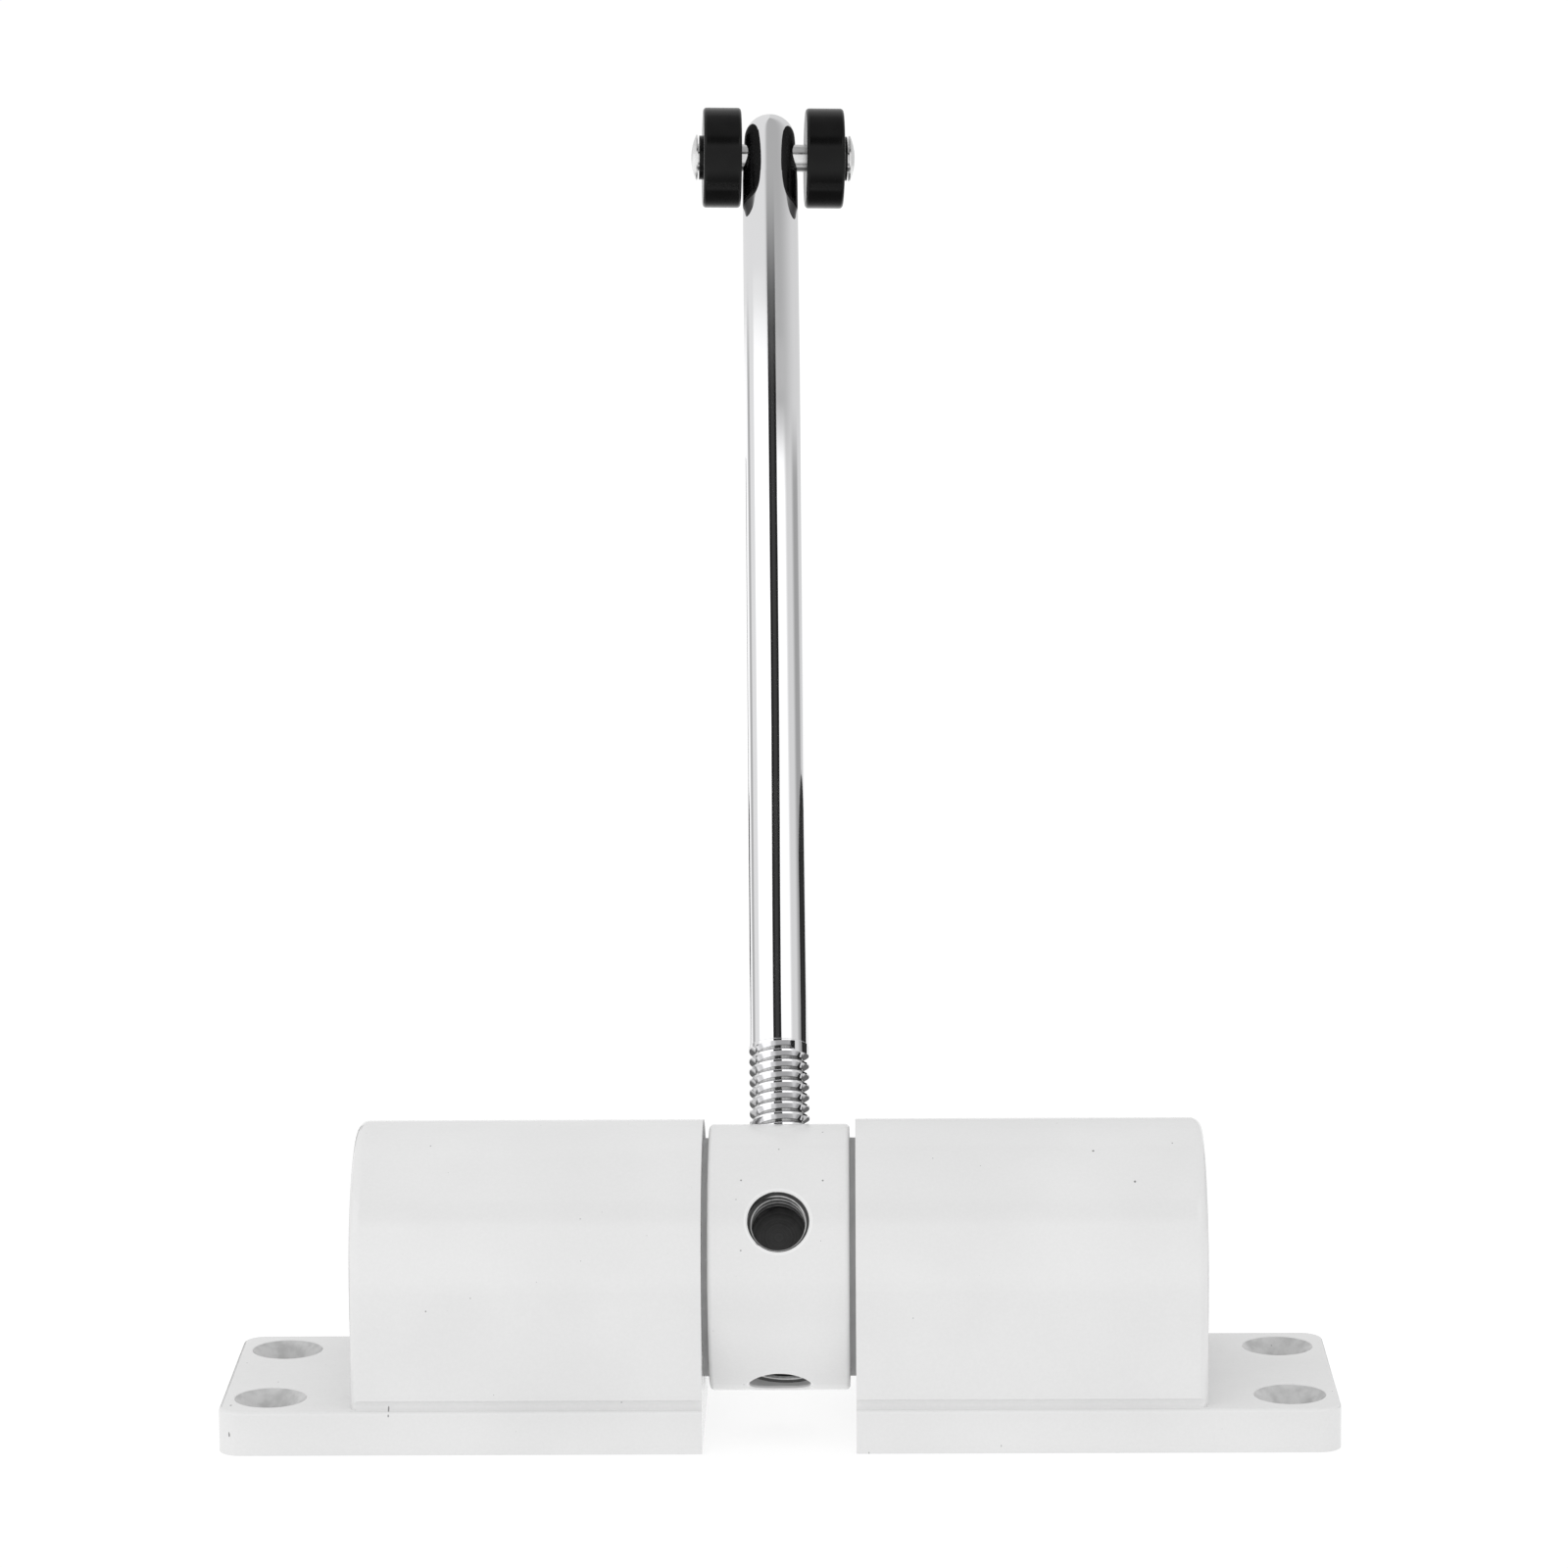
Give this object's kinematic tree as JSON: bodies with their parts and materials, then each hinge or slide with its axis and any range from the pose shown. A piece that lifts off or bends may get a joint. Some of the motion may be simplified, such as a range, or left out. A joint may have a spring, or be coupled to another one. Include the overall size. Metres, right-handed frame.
{
  "type": "door closer",
  "caption": "Spring door closer: a hub sprung between two screw-down housings swings a threaded rod whose end rollers press a door shut.",
  "frame": {"origin": "centre of the four fixing holes, in the mounting plane under the feet", "axes": "+Z away from the mounting plane, +X along the hub's axis, -Y the side that the rod swings towards as the springs wind up"},
  "size_m": [0.15, 0.1097, 0.1727],
  "materials": {
    "white_paint": "gloss",
    "dark_steel": "satin",
    "grey_bearing": "satin",
    "bright_steel": "satin",
    "spring_steel": "satin",
    "polished_chrome": "polished",
    "black_plastic": "gloss"
  },
  "bodies": {
    "frame": {"left_housing": "white_paint", "right_housing": "white_paint", "spindle": "bright_steel", "end_screws": "bright_steel", "left_thrust_washer": "grey_bearing", "right_thrust_washer": "grey_bearing", "left_spring": "spring_steel", "right_spring": "spring_steel"},
    "hub_and_rod": {"hub": "white_paint", "core_sleeve": "dark_steel", "left_bush": "grey_bearing", "right_bush": "grey_bearing", "left_bearing_disc": "grey_bearing", "right_bearing_disc": "grey_bearing", "rod": "polished_chrome"},
    "axle": {"axle": "bright_steel"},
    "left_roller": {"left_roller": "black_plastic"},
    "right_roller": {"right_roller": "black_plastic"}
  },
  "joints": [
    {"name": "hub_turn", "type": "hinge", "parent": "frame", "child": "hub_and_rod", "pos_m": [0, 0, 0.0221], "axis": [1, 0, 0], "range_deg": [0, 125], "stiffness_Nm_per_rad": 2.65, "deforming": ["left_spring", "right_spring"]},
    {"name": "axle_float", "type": "slide", "parent": "hub_and_rod", "child": "axle", "axis": [0.9986, 0.0503, -0.0176], "range_m": [-0.0009, 0]},
    {"name": "left_roller_spin", "type": "hinge", "parent": "axle", "child": "left_roller", "pos_m": [-0.00105, 0.08267, 0.16524], "axis": [0.9986, 0.0503, -0.0176], "continuous": true},
    {"name": "right_roller_spin", "type": "hinge", "parent": "axle", "child": "right_roller", "pos_m": [-0.00105, 0.08267, 0.16524], "axis": [0.9986, 0.0503, -0.0176], "continuous": true}
  ]
}
